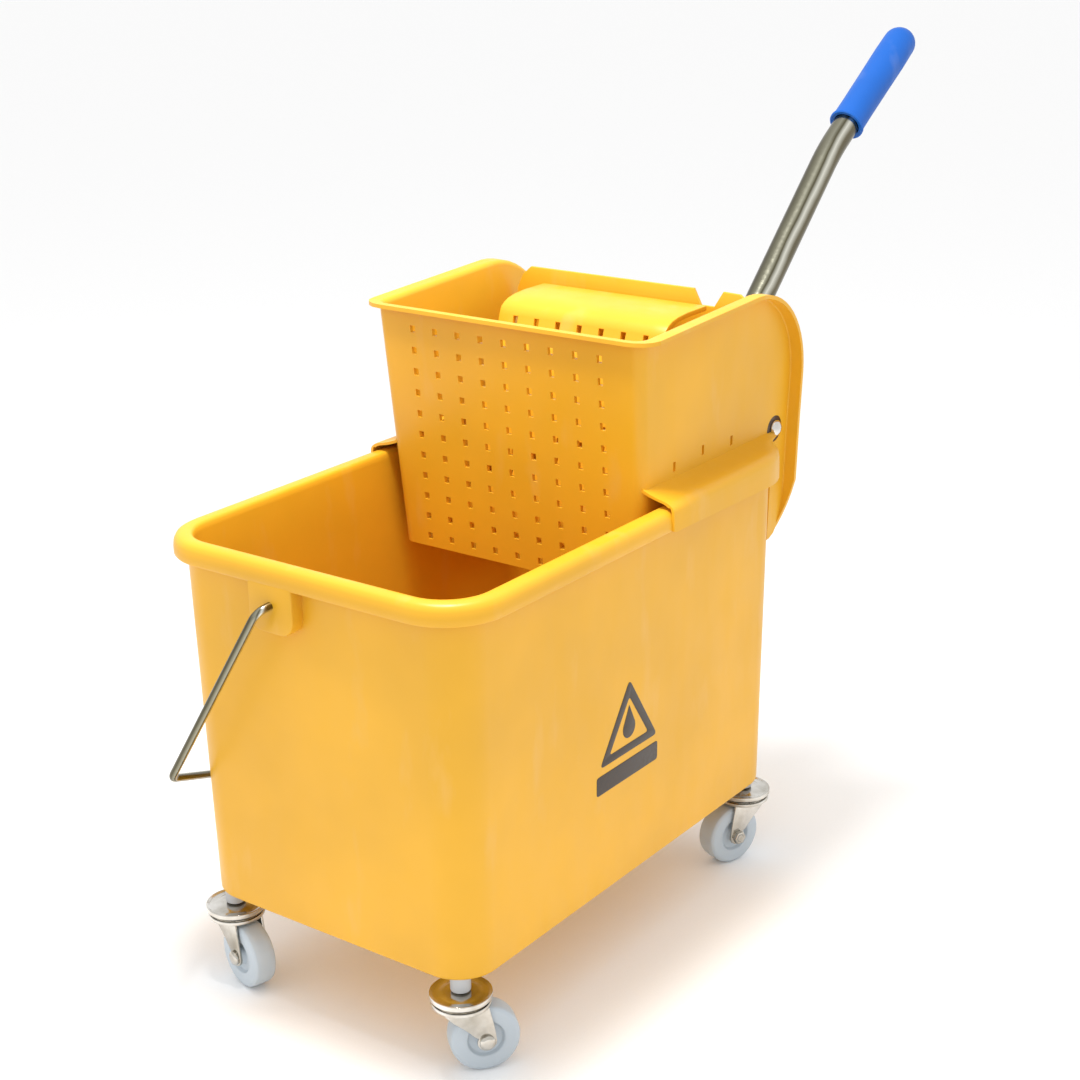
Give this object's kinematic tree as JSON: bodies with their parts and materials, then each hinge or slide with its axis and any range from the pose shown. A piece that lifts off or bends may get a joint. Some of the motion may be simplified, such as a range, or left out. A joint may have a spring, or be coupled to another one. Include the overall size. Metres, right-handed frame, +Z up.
{
  "type": "mop_bucket_with_wringer",
  "caption": "Yellow plastic mop bucket on four swivel castors with a wire bail and a lift-out side-press wringer worked by a long steel lever with a blue grip.",
  "frame": {"origin": "centre of the flat underside of the tub; the castors reach 74 mm below it", "axes": "Z up, +Y toward the wringer and lever end, +X across the bucket"},
  "size_m": [0.3176, 0.7738, 0.6432],
  "materials": {
    "yellow_plastic": "satin moulded polypropylene",
    "grey_plastic": "moulded nylon",
    "wheel_plastic": "grey-blue moulded tread",
    "blue_plastic": "dipped soft vinyl",
    "chromed_steel": "bright plated tube and wire",
    "zinc_steel": "zinc plated pressings and fasteners"
  },
  "bodies": {
    "tub": {"tub": "yellow_plastic", "castor_sleeves": "grey_plastic", "castor_fr_stem": "zinc_steel", "castor_fl_stem": "zinc_steel", "castor_rr_stem": "zinc_steel", "castor_rl_stem": "zinc_steel"},
    "bail": {"bail": "chromed_steel"},
    "castor_fr_swivel": {"castor_fr_balls": "zinc_steel", "castor_fr_fork": "zinc_steel", "castor_fr_axle": "zinc_steel", "castor_fr_nut": "zinc_steel"},
    "castor_fr_wheel": {"castor_fr_wheel": "wheel_plastic"},
    "castor_fl_swivel": {"castor_fl_balls": "zinc_steel", "castor_fl_fork": "zinc_steel", "castor_fl_axle": "zinc_steel", "castor_fl_nut": "zinc_steel"},
    "castor_fl_wheel": {"castor_fl_wheel": "wheel_plastic"},
    "castor_rr_swivel": {"castor_rr_balls": "zinc_steel", "castor_rr_fork": "zinc_steel", "castor_rr_axle": "zinc_steel", "castor_rr_nut": "zinc_steel"},
    "castor_rr_wheel": {"castor_rr_wheel": "wheel_plastic"},
    "castor_rl_swivel": {"castor_rl_balls": "zinc_steel", "castor_rl_fork": "zinc_steel", "castor_rl_axle": "zinc_steel", "castor_rl_nut": "zinc_steel"},
    "castor_rl_wheel": {"castor_rl_wheel": "wheel_plastic"},
    "wringer": {"wringer_housing": "yellow_plastic", "hinge_rod": "zinc_steel"},
    "press_plate": {"press_plate": "yellow_plastic"},
    "lever": {"cross_shaft": "zinc_steel", "pivot_bolts": "zinc_steel", "pivot_washers": "zinc_steel", "lever_socket": "zinc_steel", "socket_bolt": "zinc_steel", "lever_tube": "chromed_steel", "lever_grip": "blue_plastic", "push_arm_right": "zinc_steel", "push_arm_left": "zinc_steel", "roller_pins": "zinc_steel"},
    "roller_right": {"roller_right": "grey_plastic"},
    "roller_left": {"roller_left": "grey_plastic"}
  },
  "joints": [
    {"name": "castor_fr_swivel", "type": "hinge", "parent": "tub", "child": "castor_fr_swivel", "pos_m": [0.107, -0.188, -0.017], "axis": [0, 0, 1], "continuous": true},
    {"name": "castor_fr_roll", "type": "hinge", "parent": "castor_fr_swivel", "child": "castor_fr_wheel", "pos_m": [0.11644, -0.17634, -0.0487], "axis": [-0.7771, 0.6293, 0], "continuous": true},
    {"name": "castor_fl_swivel", "type": "hinge", "parent": "tub", "child": "castor_fl_swivel", "pos_m": [-0.107, -0.188, -0.017], "axis": [0, 0, 1], "continuous": true},
    {"name": "castor_fl_roll", "type": "hinge", "parent": "castor_fl_swivel", "child": "castor_fl_wheel", "pos_m": [-0.09251, -0.19188, -0.0487], "axis": [0.2588, 0.9659, 0], "continuous": true},
    {"name": "castor_rr_swivel", "type": "hinge", "parent": "tub", "child": "castor_rr_swivel", "pos_m": [0.107, 0.188, -0.017], "axis": [0, 0, 1], "continuous": true},
    {"name": "castor_rr_roll", "type": "hinge", "parent": "castor_rr_swivel", "child": "castor_rr_wheel", "pos_m": [0.10212, 0.17382, -0.0487], "axis": [0.9455, -0.3256, 0], "continuous": true},
    {"name": "castor_rl_swivel", "type": "hinge", "parent": "tub", "child": "castor_rl_swivel", "pos_m": [-0.107, 0.188, -0.017], "axis": [0, 0, 1], "continuous": true},
    {"name": "castor_rl_roll", "type": "hinge", "parent": "castor_rl_swivel", "child": "castor_rl_wheel", "pos_m": [-0.10187, 0.1739, -0.0487], "axis": [0.9397, 0.342, 0], "continuous": true},
    {"name": "bail_swing", "type": "hinge", "parent": "tub", "child": "bail", "pos_m": [-0.024, 0, 0.251], "axis": [0, 1, 0], "range_deg": [0, 147]},
    {"name": "wringer_lift", "type": "slide", "parent": "tub", "child": "wringer", "axis": [0, 0, 1], "range_m": [0, 0.05]},
    {"name": "lever_press", "type": "hinge", "parent": "wringer", "child": "lever", "pos_m": [0, 0.21, 0.293], "axis": [-1, 0, 0], "range_deg": [0, 40]},
    {"name": "plate_press", "type": "hinge", "parent": "wringer", "child": "press_plate", "pos_m": [0, 0.066, 0.224], "axis": [1, 0, 0], "range_deg": [0, 20]},
    {"name": "roller_right_spin", "type": "hinge", "parent": "lever", "child": "roller_right", "pos_m": [0.07, 0.11383, 0.22813], "axis": [1, 0, 0], "continuous": true},
    {"name": "roller_left_spin", "type": "hinge", "parent": "lever", "child": "roller_left", "pos_m": [-0.07, 0.11383, 0.22813], "axis": [1, 0, 0], "continuous": true}
  ],
  "couplings": [
    {"joint": "plate_press", "follows": "lever_press", "ratio": 0.5}
  ]
}
